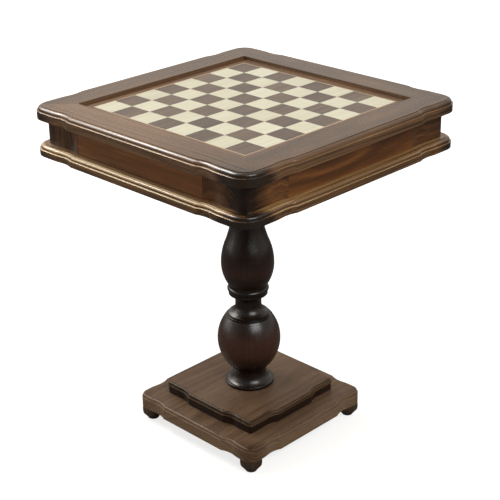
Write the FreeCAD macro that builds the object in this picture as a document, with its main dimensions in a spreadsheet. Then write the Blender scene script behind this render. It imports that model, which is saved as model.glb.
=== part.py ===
import FreeCAD, Part
import math
import os
import Sketcher
from FreeCAD import Placement, Rotation, Vector

# Pedestal chess table: an inlaid board in a moulded, scalloped frame, a shallow box
# with two drawers, a turned column, a two-step plinth and four turned feet.
# Millimetres. +Z is up; the origin is on the floor under the column's axis.
# The players sit at -Y (front) and +Y (back), each with a drawer.

doc = FreeCAD.newDocument("chess_table")

# ---------------------------------------------------------------- sizes
SIZES = {
    # heights of the tiers
    "foot_height": 29.0,
    "lower_plinth_thick": 30.0,
    "upper_plinth_thick": 26.0,
    "column_length": 493.2,
    "block_thick": 22.0,
    "moulding_thick": 21.0,
    "box_height": 50.8,
    "top_thick": 24.4,
    # outline of the top and of the moulding under the box
    "top_half": 290.5,
    "top_shoulder": 122.0,
    "top_dip": 4.5,
    "top_scoop": 66.0,
    "top_ear": 120.0,
    "top_ear_drop": 2.2,
    "top_corner": 37.0,
    "top_overhang": 20.0,
    # outline of the upper plinth
    "upper_half": 129.5,
    "upper_shoulder": 79.0,
    "upper_dip": 7.0,
    "upper_scoop": 46.4,
    "upper_ear": 60.0,
    "upper_ear_drop": 6.2,
    "upper_corner": 8.0,
    # outline of the lower plinth
    "lower_half": 168.0,
    "lower_shoulder": 84.0,
    "lower_dip": 5.5,
    "lower_scoop": 51.0,
    "lower_ear": 100.0,
    "lower_ear_drop": 3.0,
    "lower_corner": 20.0,
    # moulded edges
    "quirk": 1.0,
    "cutter_spare": 4.0,
    "top_bead_width": 10.0,
    "top_bead_height": 4.5,
    "top_groove": 3.0,
    "top_groove_height": 3.0,
    "lower_bead_width": 5.5,
    "lower_bead_height": 3.0,
    "lower_groove": 2.0,
    "lower_groove_height": 3.2,
    "upper_bead_width": 6.0,
    "upper_bead_height": 2.5,
    "upper_groove": 3.0,
    "upper_groove_height": 3.7,
    "upper_band_setback": 2.5,
    "upper_band_height": 17.0,
    # board
    "square": 50.0,
    "squares_across": 8,
    "stringing_width": 1.8,
    "recess_half": 222.0,
    "recess_depth": 7.0,
    "rebate_width": 10.0,
    "veneer": 1.0,
    "panel_gap": 0.3,
    # box under the top
    "apron_thick": 20.0,
    "moulding_width": 60.0,
    "bottom_thick": 12.0,
    "bottom_rebate": 10.0,
    "guide_width": 18.0,
    "kicker_width": 16.0,
    "centre_rail_thick": 18.0,
    # drawers
    "front_gap": 0.8,
    "slide_gap": 0.4,
    "drawer_side_thick": 10.0,
    "drawer_side_height": 36.0,
    "drawer_back_clear": 3.0,
    "housing_depth": 8.0,
    "drawer_bottom_thick": 4.0,
    "drawer_bottom_lift": 4.0,
    "groove_depth": 4.0,
    # how far a turned curve's chords may stray from it
    "chord_sag": 0.4,
    # column, heights counted from its foot unless named from its top
    "bore_radius": 6.5,
    "disc_radius": 50.0,
    "disc_height": 7.5,
    "disc_step": 5.0,
    "cavetto_radius": 34.4,
    "cavetto_at": 26.0,
    "ball_foot_radius": 41.0,
    "ball_foot_at": 42.0,
    "ball_radius": 64.3,
    "ball_at": 101.0,
    "ball_top_radius": 46.5,
    "ball_top_at": 153.0,
    "rim_radius": 44.0,
    "rim_height": 2.5,
    "spigot_radius": 16.0,
    "spigot_length": 14.0,
    "spigot_clear": 0.3,
    "collar_radius": 41.0,
    "collar_height": 3.5,
    "neck_radius": 26.5,
    "neck_at": 179.0,
    "neck_height": 6.0,
    "step_radius": 35.5,
    "step_at": 201.5,
    "ring_seat_radius": 39.4,
    "ring_radius": 42.0,
    "ring_at": 213.0,
    "ring_half_height": 5.0,
    "belly_foot_at": 223.0,
    "belly_radius": 53.4,
    "belly_at": 269.0,
    "belly_top_radius": 42.0,
    "belly_top_at": 321.0,
    "stem_radius": 28.5,
    "stem_below_top": 94.2,
    "astragal_seat_radius": 29.5,
    "astragal_radius": 33.5,
    "astragal_below_top": 84.2,
    "astragal_half_height": 5.0,
    "cap_foot_below_top": 76.7,
    "cap_lip_radius": 46.0,
    "cap_radius": 50.0,
    "cap_height": 24.0,
    # fixings
    "block_half": 95.0,
    "block_chamfer": 8.0,
    "rod_radius": 6.0,
    "nut_across": 19.0,
    "nut_height": 10.0,
    "washer_radius": 14.0,
    "washer_thick": 2.5,
    "pocket_radius": 16.0,
    "pocket_depth": 15.0,
    "thread_clear": 0.2,
    # feet
    "foot_inset": 24.0,
    "foot_base_radius": 11.0,
    "foot_toe_radius": 12.0,
    "foot_toe_height": 2.0,
    "foot_chamfer_radius": 21.2,
    "foot_chamfer_at": 13.5,
    "foot_radius": 21.8,
    "foot_widest_at": 19.5,
    "foot_top_radius": 21.0,
    "foot_top_height": 1.0,
    "tenon_radius": 8.0,
    "tenon_length": 18.0,
    "tenon_clear": 0.2,
}

sheet = doc.addObject("Spreadsheet::Sheet", "Sizes")
for row, (alias, value) in enumerate(SIZES.items(), start=1):
    sheet.set(f"A{row}", alias)
    sheet.set(f"B{row}", str(value))
    sheet.setAlias(f"B{row}", alias)
doc.recompute()


def size(alias):
    return float(getattr(sheet, alias))


def ex(formula):
    """A sheet formula: every word that is an alias is read from the sheet."""
    words = formula.replace("(", " ( ").replace(")", " ) ").split()
    return " ".join("Sizes." + w if w in SIZES else w for w in words)


# heights above the floor, as formulas of the sheet
LOWER_PLINTH_Z = "foot_height"
UPPER_PLINTH_Z = f"( {LOWER_PLINTH_Z} + lower_plinth_thick )"
COLUMN_Z = f"( {UPPER_PLINTH_Z} + upper_plinth_thick )"
BLOCK_Z = f"( {COLUMN_Z} + column_length )"
BOTTOM_Z = f"( {BLOCK_Z} + block_thick )"
BOX_Z = f"( {BOTTOM_Z} + bottom_thick )"
MOULDING_Z = f"( {BOX_Z} - moulding_thick )"
TOP_Z = f"( {BOX_Z} + box_height )"
BOARD_Z = f"( {TOP_Z} + top_thick - recess_depth )"


# ---------------------------------------------------------------- modelling helpers
nodes = []


def node(obj, label):
    obj.Label = label
    nodes.append(obj)
    return obj


def new_body(label):
    return node(doc.addObject("PartDesign::Body", label), label)


def origin_plane(body, role):
    return next(o for o in body.Origin.OriginFeatures if o.Role == role)


def new_sketch(body, name, role="XY_Plane", at=("0", "0", "0")):
    """An empty sketch on one of the body's origin planes, moved by sheet formulas."""
    sketch = body.newObject("Sketcher::SketchObject", f"{body.Name}_{name}")
    sketch.AttachmentSupport = [(origin_plane(body, role), "")]
    sketch.MapMode = "FlatFace"
    for axis, formula in zip("xyz", at):
        if formula != "0":
            sketch.setExpression(f"AttachmentOffset.Base.{axis}", ex(formula))
    return sketch


def rectangle(sketch, width, depth):
    """A constrained rectangle from the sketch's origin, sized by sheet formulas."""
    corners = [Vector(0, 0, 0), Vector(1, 0, 0), Vector(1, 1, 0), Vector(0, 1, 0)]
    for i in range(4):
        sketch.addGeometry(Part.LineSegment(corners[i], corners[(i + 1) % 4]), False)
    for i in range(4):
        sketch.addConstraint(Sketcher.Constraint("Coincident", i, 2, (i + 1) % 4, 1))
    sketch.addConstraint(Sketcher.Constraint("Coincident", 0, 1, -1, 1))
    for line in (0, 2):
        sketch.addConstraint(Sketcher.Constraint("Horizontal", line))
    for line in (1, 3):
        sketch.addConstraint(Sketcher.Constraint("Vertical", line))
    across = sketch.addConstraint(Sketcher.Constraint("DistanceX", 0, 1, 0, 2, 1.0))
    along = sketch.addConstraint(Sketcher.Constraint("DistanceY", 1, 1, 1, 2, 1.0))
    sketch.setExpression(f"Constraints[{across}]", ex(width))
    sketch.setExpression(f"Constraints[{along}]", ex(depth))


def pad(body, name, sketch, length):
    feature = body.newObject("PartDesign::Pad", f"{body.Name}_{name}")
    feature.Profile = sketch
    feature.setExpression("Length", ex(length))
    return feature


def pocket(body, name, sketch, length):
    """Cuts downwards, against the sketch's normal."""
    feature = body.newObject("PartDesign::Pocket", f"{body.Name}_{name}")
    feature.Profile = sketch
    feature.setExpression("Length", ex(length))
    return feature


def board(label, low, spans):
    """A sawn board: its low corner and its three spans are sheet formulas."""
    body = new_body(label)
    sketch = new_sketch(body, "plan", at=low)
    rectangle(sketch, spans[0], spans[1])
    pad(body, "board", sketch, spans[2])
    return body


def trench(body, name, low, spans):
    """A housing, groove or rebate cut out of a board."""
    top = (low[0], low[1], f"{low[2]} + {spans[2]}")
    sketch = new_sketch(body, name + "_plan", at=top)
    rectangle(sketch, spans[0], spans[1])
    return pocket(body, name, sketch, spans[2])


def draw(sketch, curves):
    for curve in curves:
        sketch.addGeometry(curve, False)


def line(a, b):
    return Part.LineSegment(Vector(a[0], a[1], 0), Vector(b[0], b[1], 0))


def polygon(points):
    return [line(points[i], points[(i + 1) % len(points)]) for i in range(len(points))]


def arc(cx, cy, radius, start, end):
    circle = Part.Circle(Vector(cx, cy, 0), Vector(0, 0, 1), radius)
    return Part.ArcOfCircle(circle, start, end)


def circle(radius, x=0.0, y=0.0):
    return Part.Circle(Vector(x, y, 0), Vector(0, 0, 1), radius)


# ---------------------------------------------------------------- the scalloped outline
class Outline:
    """One side of a tier, for the side that faces +Y: a straight middle that ends in an
    arris at each side, a shallow scoop past it, a swell back to the ear line, and a
    rounded corner. The other three sides are the same, turned."""

    def __init__(self, tier, setback=0.0, inset=0.0):
        half, dip, scoop = self.sizes(tier, "half", "dip", "scoop")
        shoulder, ear, ear_drop = self.sizes(tier, "shoulder", "ear", "ear_drop")
        corner, = self.sizes(tier, "corner")
        self.half = half - setback - inset
        self.ear_line = self.half - ear_drop
        self.corner = corner - setback - inset
        self.scoop = scoop + inset
        self.swell = ear - inset
        self.dip_line = self.half - dip
        self.dip_at = half - shoulder + math.sqrt(scoop ** 2 - (scoop - dip) ** 2)
        rise = self.half - self.dip_line
        self.arris = self.dip_at - math.sqrt(self.scoop ** 2 - (self.scoop - rise) ** 2)
        turn = 1 - (self.ear_line - self.dip_line) / (self.scoop + self.swell)
        self.turn = math.acos(turn)
        self.ear_at = self.dip_at + (self.scoop + self.swell) * math.sin(self.turn)
        self.centre = self.ear_line - self.corner

    @staticmethod
    def sizes(tier, *words):
        return [size(f"{tier}_{word}") for word in words]

    def tip(self):
        """The point of the rounded corner on the diagonal."""
        reach = self.centre + self.corner * math.sqrt(0.5)
        return (reach, reach)

    def half_side(self, mirrored=False):
        """Curves from the corner's tip to the arris."""
        up = math.pi / 2
        start = math.pi * 1.5 + self.turn
        scoop_y = self.dip_line + self.scoop
        first = math.atan2(self.half - scoop_y, self.arris - self.dip_at) + 2 * math.pi
        pieces = [
            (self.centre, self.centre, self.corner, up / 2, up),
            (self.ear_at, self.ear_line - self.swell, self.swell, up, up + self.turn),
            (self.dip_at, scoop_y, self.scoop, first, start),
        ]
        if mirrored:
            pieces = [(-x, y, r, math.pi - b, math.pi - a) for x, y, r, a, b in pieces]
        sign = -1 if mirrored else 1
        ear = line((sign * self.centre, self.ear_line), (sign * self.ear_at, self.ear_line))
        curves = [arc(*piece) for piece in pieces]
        curves.insert(1, ear)
        return curves

    def side(self):
        """Curves of the whole side, from the right tip to the left tip."""
        middle = line((self.arris, self.half), (-self.arris, self.half))
        return self.half_side() + [middle] + self.half_side(mirrored=True)[::-1]

    def loop(self):
        """The closed outline: the side, turned to face all four ways."""
        curves = []
        for quarter in range(4):
            turned = Placement(Vector(), Rotation(Vector(0, 0, 1), 90 * quarter))
            for curve in self.side():
                curve.rotate(turned)
                curves.append(curve)
        return curves


def edge_profile(tier, reach, top, chords):
    """Section of what a moulding cutter takes off an upper edge: a quirk, a thumbnail
    bead and a square groove under it. reach is the edge's distance from the axis."""
    spare, quirk = size("cutter_spare"), size("quirk")
    width, bead = size(f"{tier}_bead_width"), size(f"{tier}_bead_height")
    groove, low = size(f"{tier}_groove"), top - quirk - bead - size(f"{tier}_groove_height")
    points = [(reach + spare, top + spare), (reach - width, top + spare)]
    for i in range(chords + 1):
        angle = math.pi / 2 * i / chords
        inward = width - (width - groove) * math.sin(angle)
        points.append((reach - inward, top - quirk - bead * (1 - math.cos(angle))))
    points.append((reach - groove, low))
    points.append((reach + spare, low))
    return polygon(points)


def moulded_edge(body, spine, edges, tier, thick, chords):
    """Runs the tier's cutter along its outline, starting at the corner's tip."""
    section = new_sketch(body, "cutter", role="XZ_Plane")
    section.AttachmentOffset = Placement(Vector(), Rotation(Vector(0, 1, 0), 45))
    reach = Outline(tier).tip()[0] * math.sqrt(2)
    draw(section, edge_profile(tier, reach, size(thick), chords))
    sweep = body.newObject("PartDesign::SubtractivePipe", f"{body.Name}_moulding")
    sweep.Profile = section
    sweep.Spine = (spine, [f"Edge{i + 1}" for i in range(edges)])
    sweep.Transition = "Round corner"
    return sweep


SIDES = {"back": 0, "left": 90, "front": 180, "right": 270}


def turn(body, side, z=None):
    body.Placement = Placement(Vector(), Rotation(Vector(0, 0, 1), SIDES[side]))
    if z is not None:
        body.setExpression("Placement.Base.z", ex(z))


def mitred_member(label, side, z, thick, inner, rebate, rebate_z, rebate_thick):
    """One moulded side of a frame, mitred at both ends and rebated for a panel."""
    body = new_body(label)
    outline = Outline("top")
    sketch = new_sketch(body, "plan")
    curves = outline.side()
    tip = outline.tip()
    draw(sketch, curves)
    draw(sketch, [line((-tip[0], tip[1]), (-inner, inner)),
                  line((-inner, inner), (inner, inner)),
                  line((inner, inner), tip)])
    pad(body, "blank", sketch, thick)
    moulded_edge(body, sketch, len(curves), "top", thick, chords=3)
    seat = new_sketch(body, "rebate_plan", at=("0", "0", f"{rebate_z} + {rebate_thick}"))
    deep = inner + rebate
    draw(seat, polygon([(-inner, inner), (inner, inner), (deep, deep), (-deep, deep)]))
    pocket(body, "rebate", seat, rebate_thick)
    turn(body, side, z)
    return body


# ---------------------------------------------------------------- the top
for side in SIDES:
    mitred_member(f"top_frame_{side}", side, TOP_Z, "top_thick", size("recess_half"),
                  size("rebate_width"), "0", "( top_thick - recess_depth )")

PANEL = "( recess_half + rebate_width - panel_gap )"
board("board_core", (f"- {PANEL}", f"- {PANEL}", TOP_Z),
      (f"2 * {PANEL}", f"2 * {PANEL}", "( top_thick - recess_depth - veneer )"))


def veneer_piece(name, x, y, dx, dy):
    piece = doc.addObject("Part::Box", name)
    piece.setExpression("Length", ex(dx))
    piece.setExpression("Width", ex(dy))
    piece.setExpression("Height", ex("veneer"))
    piece.setExpression("Placement.Base.x", ex(x))
    piece.setExpression("Placement.Base.y", ex(y))
    piece.setExpression("Placement.Base.z", ex(f"{BOARD_Z} - veneer"))
    return piece


def group(label, pieces):
    compound = doc.addObject("Part::Compound", label)
    compound.Links = pieces
    return node(compound, label)


# squares laid chequerwise, with a light square at each player's right hand
ACROSS = int(size("squares_across"))
squares = {"light": [], "dark": []}
for i in range(ACROSS):
    for j in range(ACROSS):
        tone = "light" if (i + j) % 2 == 0 else "dark"
        x = f"square * ( {i} - squares_across / 2 )"
        y = f"square * ( {j} - squares_across / 2 )"
        squares[tone].append(veneer_piece(f"{tone}_{i}_{j}", x, y, "square", "square"))
for tone, pieces in squares.items():
    group(f"{tone}_squares", pieces)


def mitred_strips(label, inner, outer):
    """Four veneer strips around the board, mitred at the corners."""
    strips = []
    for side, angle in SIDES.items():
        plan = doc.addObject("Sketcher::SketchObject", f"{label}_{side}_plan")
        draw(plan, polygon([(-inner, inner), (inner, inner), (outer, outer), (-outer, outer)]))
        plan.Placement = Placement(Vector(), Rotation(Vector(0, 0, 1), angle))
        plan.setExpression("Placement.Base.z", ex(f"{BOARD_Z} - veneer"))
        strip = doc.addObject("Part::Extrusion", f"{label}_{side}")
        strip.Base = plan
        strip.DirMode = "Normal"
        strip.setExpression("LengthFwd", ex("veneer"))
        strip.Solid = True
        strips.append(strip)
    return group(label, strips)


field = size("square") * ACROSS / 2
string_edge = field + size("stringing_width")
panel_edge = size("recess_half") + size("rebate_width") - size("panel_gap")
mitred_strips("stringing", field, string_edge)
mitred_strips("border_strips", string_edge, panel_edge)

# ---------------------------------------------------------------- the box
APRON = "( top_half - top_overhang )"
apron_outline = Outline("top", setback=size("top_overhang"))

for name, side in (("back_right", "back"), ("back_left", "left"),
                   ("front_left", "front"), ("front_right", "right")):
    body = new_body(f"corner_block_{name}")
    plan = new_sketch(body, "plan")
    arris, face = apron_outline.arris, apron_outline.half
    near = apron_outline.half_side()
    far = apron_outline.half_side(mirrored=True)
    quarter = Placement(Vector(), Rotation(Vector(0, 0, 1), -90))
    for curve in far:
        curve.rotate(quarter)
    draw(plan, near + far)
    draw(plan, [line((arris, face), (arris, arris)), line((arris, arris), (face, arris))])
    pad(body, "block", plan, "box_height")
    turn(body, side, BOX_Z)

INSIDE = f"( {APRON} - apron_thick )"
ARRIS = "( top_half - top_shoulder )"
for side, x in (("left", f"- {APRON}"), ("right", INSIDE)):
    board(f"side_apron_{side}", (x, f"- {ARRIS}", BOX_Z),
          ("apron_thick", f"2 * {ARRIS}", "box_height"))

# the drawers run between two guides, under two kickers, on the bottom board
RUN = f"( {ARRIS} - guide_width )"
GUIDE_END = f"( {INSIDE} - slide_gap )"
for side, x in (("left", f"- {ARRIS}"), ("right", RUN)):
    board(f"drawer_guide_{side}", (x, f"- {GUIDE_END}", BOX_Z),
          ("guide_width", f"2 * {GUIDE_END}", "box_height"))
KICKER_Z = f"( {BOX_Z} + slide_gap + drawer_side_height + slide_gap )"
for side, x in (("left", f"- {RUN}"), ("right", f"{RUN} - kicker_width")):
    board(f"drawer_kicker_{side}", (x, f"- {GUIDE_END}", KICKER_Z),
          ("kicker_width", f"2 * {GUIDE_END}",
           "( box_height - slide_gap - drawer_side_height - slide_gap )"))
rail = board("centre_rail", (f"- {RUN}", "- centre_rail_thick / 2", BOX_Z),
             (f"2 * {RUN}", "centre_rail_thick", "box_height"))
for side, x in (("left", f"- {RUN}"), ("right", f"{RUN} - kicker_width")):
    trench(rail, f"notch_{side}", (x, "- centre_rail_thick / 2", KICKER_Z),
           ("kicker_width", "centre_rail_thick",
            "( box_height - slide_gap - drawer_side_height - slide_gap )"))

# ---------------------------------------------------------------- moulding and bottom
moulding_inner = size("top_half") - size("moulding_width")
for side in SIDES:
    mitred_member(f"moulding_{side}", side, MOULDING_Z, "moulding_thick", moulding_inner,
                  size("bottom_rebate"), "( moulding_thick - bottom_thick )",
                  "bottom_thick")
BOTTOM = "( top_half - moulding_width + bottom_rebate - panel_gap )"
board("bottom_board", (f"- {BOTTOM}", f"- {BOTTOM}", BOTTOM_Z),
      (f"2 * {BOTTOM}", f"2 * {BOTTOM}", "bottom_thick"))

# ---------------------------------------------------------------- drawers
FRONT_HALF = f"( {ARRIS} - front_gap )"
BOX_HALF = f"( {RUN} - slide_gap )"
FLOOR_Z = f"( {BOX_Z} + slide_gap )"
PANEL_Z = f"( {FLOOR_Z} + drawer_bottom_lift )"
REAR_Y = "( centre_rail_thick / 2 + drawer_back_clear )"
FRONT_Y = INSIDE
SIDE_END = f"( {FRONT_Y} + housing_depth )"


def drawer(name, side):
    """A drawer of five boards, drawn for the +Y side and turned. Left and
    right are those of the player who opens it."""
    face = board(f"{name}_drawer_face", (f"- {FRONT_HALF}", FRONT_Y, f"{BOX_Z} + front_gap"),
                 (f"2 * {FRONT_HALF}", "apron_thick", "( box_height - 2 * front_gap )"))
    pieces = [face]
    inner = f"( {BOX_HALF} - drawer_side_thick )"
    for hand, x in (("right", f"- {BOX_HALF}"), ("left", inner)):
        trench(face, f"housing_{hand}", (x, FRONT_Y, FLOOR_Z),
               ("drawer_side_thick", "housing_depth", "drawer_side_height"))
        cheek = board(f"{name}_drawer_side_{hand}", (x, REAR_Y, FLOOR_Z),
                      ("drawer_side_thick", f"( {SIDE_END} - {REAR_Y} )",
                       "drawer_side_height"))
        groove_x = inner
        if hand == "right":
            groove_x = f"( - {BOX_HALF} + drawer_side_thick - groove_depth )"
        trench(cheek, "groove", (groove_x, REAR_Y, PANEL_Z),
               ("groove_depth", f"( {SIDE_END} - {REAR_Y} )", "drawer_bottom_thick"))
        pieces.append(cheek)
    wide = f"( {inner} + groove_depth )"
    trench(face, "groove", (f"- {wide}", FRONT_Y, PANEL_Z),
           (f"2 * {wide}", "groove_depth", "drawer_bottom_thick"))
    bottom = board(f"{name}_drawer_bottom", (f"- {wide}", REAR_Y, PANEL_Z),
                   (f"2 * {wide}", f"( {FRONT_Y} + groove_depth - {REAR_Y} )",
                    "drawer_bottom_thick"))
    rear_z = f"( {PANEL_Z} + drawer_bottom_thick )"
    rear = board(f"{name}_drawer_rear", (f"- {inner}", REAR_Y, rear_z),
                 (f"2 * {inner}", "drawer_side_thick",
                  "( drawer_side_height - drawer_bottom_lift - drawer_bottom_thick )"))
    for piece in pieces + [bottom, rear]:
        turn(piece, side)


drawer("back", "back")
drawer("front", "front")

# ---------------------------------------------------------------- the column


def bulge(widest, end):
    """An arc that runs upright at its widest or narrowest point and passes the end, as
    chords that stay within chord_sag of it, which keeps the part's mesh light."""
    (r0, z0), (r1, z1) = widest, end
    radius = ((r0 - r1) ** 2 + (z1 - z0) ** 2) / (2 * abs(r0 - r1))
    inward = -1 if r1 < r0 else 1
    sweep = math.atan2(abs(z1 - z0), radius - abs(r0 - r1))
    step = 2 * math.acos(1 - size("chord_sag") / radius)
    count = math.ceil(sweep / step)
    upward = 1 if z1 > z0 else -1
    points = []
    for i in range(count + 1):
        angle = sweep * i / count
        points.append((r0 + inward * radius * (1 - math.cos(angle)),
                       z0 + upward * radius * math.sin(angle)))
    points[-1] = end
    return [line(points[i], points[i + 1]) for i in range(count)]


def turned_piece(label, profile, z):
    """A piece off the lathe: a closed section of lines and arcs, spun about Z."""
    body = new_body(label)
    section = new_sketch(body, "section", role="XZ_Plane")
    draw(section, profile)
    spin = body.newObject("PartDesign::Revolution", f"{label}_turning")
    spin.Profile = section
    spin.ReferenceAxis = (section, ["V_Axis"])
    spin.Angle = 360
    if z is not None:
        body.setExpression("Placement.Base.z", ex(z))
    return body


bore = size("bore_radius")
disc = (size("disc_radius"), size("disc_height"))
disc_in = (disc[0] - size("disc_step"), disc[1])
waist = (size("cavetto_radius"), size("cavetto_at"))
ball_foot = (size("ball_foot_radius"), size("ball_foot_at"))
ball = (size("ball_radius"), size("ball_at"))
ball_top = (size("ball_top_radius"), size("ball_top_at"))
rim = size("rim_radius")
joint_z = size("ball_top_at") + size("rim_height")
spigot = size("spigot_radius")
spigot_z = joint_z - size("spigot_length")
socket = spigot + size("spigot_clear")
socket_z = spigot_z - size("spigot_clear")

ball_profile = [
    line((bore, 0), (disc[0], 0)),
    line((disc[0], 0), disc),
    line(disc, disc_in),
    *bulge(waist, disc_in),
    *bulge(waist, ball_foot),
    *bulge(ball, ball_foot),
    *bulge(ball, ball_top),
    line(ball_top, (rim, ball_top[1])),
    line((rim, ball_top[1]), (rim, joint_z)),
    line((rim, joint_z), (socket, joint_z)),
    line((socket, joint_z), (socket, socket_z)),
    line((socket, socket_z), (bore, socket_z)),
    line((bore, socket_z), (bore, 0)),
]
turned_piece("column_ball", ball_profile, COLUMN_Z)

length = size("column_length")
collar = (size("collar_radius"), joint_z + size("collar_height"))
neck_low = (size("neck_radius"), size("neck_at"))
neck_high = (size("neck_radius"), size("neck_at") + size("neck_height"))
step = (size("step_radius"), size("step_at"))
seat = size("ring_seat_radius")
ring = (size("ring_radius"), size("ring_at"))
ring_low = (seat, ring[1] - size("ring_half_height"))
ring_high = (seat, ring[1] + size("ring_half_height"))
belly_foot = (seat, size("belly_foot_at"))
belly = (size("belly_radius"), size("belly_at"))
belly_top = (size("belly_top_radius"), size("belly_top_at"))
stem = (size("stem_radius"), length - size("stem_below_top"))
bead_seat = size("astragal_seat_radius")
bead = (size("astragal_radius"), length - size("astragal_below_top"))
bead_low = (bead_seat, bead[1] - size("astragal_half_height"))
bead_high = (bead_seat, bead[1] + size("astragal_half_height"))
cap_foot = (bead_seat, length - size("cap_foot_below_top"))
cap_lip = (size("cap_lip_radius"), length - size("cap_height"))
cap = size("cap_radius")

vase_profile = [
    line((bore, spigot_z), (spigot, spigot_z)),
    line((spigot, spigot_z), (spigot, joint_z)),
    line((spigot, joint_z), (collar[0], joint_z)),
    line((collar[0], joint_z), collar),
    *bulge(neck_low, collar),
    line(neck_low, neck_high),
    *bulge(neck_high, step),
    line(step, (seat, step[1])),
    line((seat, step[1]), ring_low),
    *bulge(ring, ring_low),
    *bulge(ring, ring_high),
    line(ring_high, belly_foot),
    *bulge(belly, belly_foot),
    *bulge(belly, belly_top),
    *bulge(stem, belly_top),
    line(stem, (stem[0], bead_low[1])),
    line((stem[0], bead_low[1]), bead_low),
    *bulge(bead, bead_low),
    *bulge(bead, bead_high),
    line(bead_high, cap_foot),
    *bulge(cap_foot, cap_lip),
    line(cap_lip, (cap, cap_lip[1])),
    line((cap, cap_lip[1]), (cap, length)),
    line((cap, length), (bore, length)),
    line((bore, length), (bore, spigot_z)),
]
turned_piece("column_vase", vase_profile, COLUMN_Z)

# ---------------------------------------------------------------- block and tie rod
block = board("mounting_block", ("- block_half", "- block_half", BLOCK_Z),
              ("2 * block_half", "2 * block_half", "block_thick"))


def lower_rim(shape):
    """Names of the edges around a shape's underside."""
    low = shape.BoundBox.ZMin
    return [f"Edge{i + 1}" for i, edge in enumerate(shape.Edges)
            if abs(edge.BoundBox.ZMax - low) < 0.01]


doc.recompute()
slab = block.Tip
bevel = block.newObject("PartDesign::Chamfer", "mounting_block_bevel")
bevel.Base = (slab, lower_rim(slab.Shape))
bevel.setExpression("Size", ex("block_chamfer"))


def round_pocket(body, name, radius, z, depth, places=((0.0, 0.0),)):
    plan = new_sketch(body, name + "_plan", at=("0", "0", z))
    draw(plan, [circle(radius, x, y) for x, y in places])
    return pocket(body, name, plan, depth)


round_pocket(block, "bore", bore, BOTTOM_Z, "block_thick")
round_pocket(block, "nut_pocket", size("pocket_radius"), BOTTOM_Z, "pocket_depth")


def short_cylinder(label, radius, z, length_formula, hollow=0.0):
    body = new_body(label)
    plan = new_sketch(body, "plan", at=("0", "0", z))
    rings = [circle(radius)]
    if hollow:
        rings.append(circle(hollow))
    draw(plan, rings)
    pad(body, "length", plan, length_formula)
    return body


ROD_LOW = f"( {LOWER_PLINTH_Z} + pocket_depth - washer_thick - nut_height - washer_thick / 2 )"
ROD_HIGH = f"( {BOTTOM_Z} - pocket_depth + washer_thick + nut_height + washer_thick / 2 )"
short_cylinder("tie_rod", size("rod_radius"), ROD_LOW, f"( {ROD_HIGH} - {ROD_LOW} )")

WASHER_Z = {"low": f"( {LOWER_PLINTH_Z} + pocket_depth - washer_thick )",
            "high": f"( {BOTTOM_Z} - pocket_depth )"}
NUT_Z = {"low": f"( {LOWER_PLINTH_Z} + pocket_depth - washer_thick - nut_height )",
         "high": f"( {BOTTOM_Z} - pocket_depth + washer_thick )"}


def pierced(name, solid, thickness, z):
    """Bores a fastener blank for the rod."""
    hole = doc.addObject("Part::Cylinder", f"{name}_hole")
    hole.setExpression("Radius", ex("rod_radius + thread_clear"))
    hole.setExpression("Height", ex(thickness))
    hole.setExpression("Placement.Base.z", ex(z))
    cut = doc.addObject("Part::Cut", name)
    cut.Base = solid
    cut.Tool = hole
    return cut


FLATS_TO_CORNER = math.sqrt(3)  # a hexagon's width across flats over its corner radius
washers, nuts = [], []
for end in ("low", "high"):
    blank = doc.addObject("Part::Cylinder", f"washer_blank_{end}")
    blank.setExpression("Radius", ex("washer_radius"))
    blank.setExpression("Height", ex("washer_thick"))
    blank.setExpression("Placement.Base.z", ex(WASHER_Z[end]))
    washers.append(pierced(f"washer_{end}", blank, "washer_thick", WASHER_Z[end]))
    blank = doc.addObject("Part::Prism", f"nut_blank_{end}")
    blank.Polygon = 6
    blank.setExpression("Circumradius", ex(f"nut_across / {FLATS_TO_CORNER}"))
    blank.setExpression("Height", ex("nut_height"))
    blank.setExpression("Placement.Base.z", ex(NUT_Z[end]))
    nuts.append(pierced(f"nut_{end}", blank, "nut_height", NUT_Z[end]))
group("rod_washers", washers)
group("rod_nuts", nuts)

# ---------------------------------------------------------------- plinths
foot_at = size("lower_half") - size("foot_inset")
FEET = {"front_left": (-foot_at, -foot_at), "front_right": (foot_at, -foot_at),
        "back_left": (-foot_at, foot_at), "back_right": (foot_at, foot_at)}

lower = new_body("lower_plinth")
plan = new_sketch(lower, "plan")
curves = Outline("lower").loop()
draw(plan, curves)
pad(lower, "slab", plan, "lower_plinth_thick")
moulded_edge(lower, plan, len(curves), "lower", "lower_plinth_thick", chords=2)
round_pocket(lower, "bore", bore, "lower_plinth_thick", "lower_plinth_thick")
round_pocket(lower, "nut_pocket", size("pocket_radius"), "pocket_depth", "pocket_depth")
round_pocket(lower, "foot_sockets", size("tenon_radius") + size("tenon_clear"),
             "( tenon_length + tenon_clear )", "( tenon_length + tenon_clear )",
             list(FEET.values()))
lower.setExpression("Placement.Base.z", ex(LOWER_PLINTH_Z))

upper = new_body("upper_plinth")
band = new_sketch(upper, "band_plan")
draw(band, Outline("upper", inset=size("upper_band_setback")).loop())
pad(upper, "band", band, "upper_band_height")
plan = new_sketch(upper, "plan", at=("0", "0", "upper_band_height"))
curves = Outline("upper").loop()
draw(plan, curves)
pad(upper, "slab", plan, "( upper_plinth_thick - upper_band_height )")
moulded_edge(upper, plan, len(curves), "upper", "upper_plinth_thick", chords=2)
round_pocket(upper, "bore", bore, "upper_plinth_thick", "upper_plinth_thick")
upper.setExpression("Placement.Base.z", ex(UPPER_PLINTH_Z))

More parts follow.
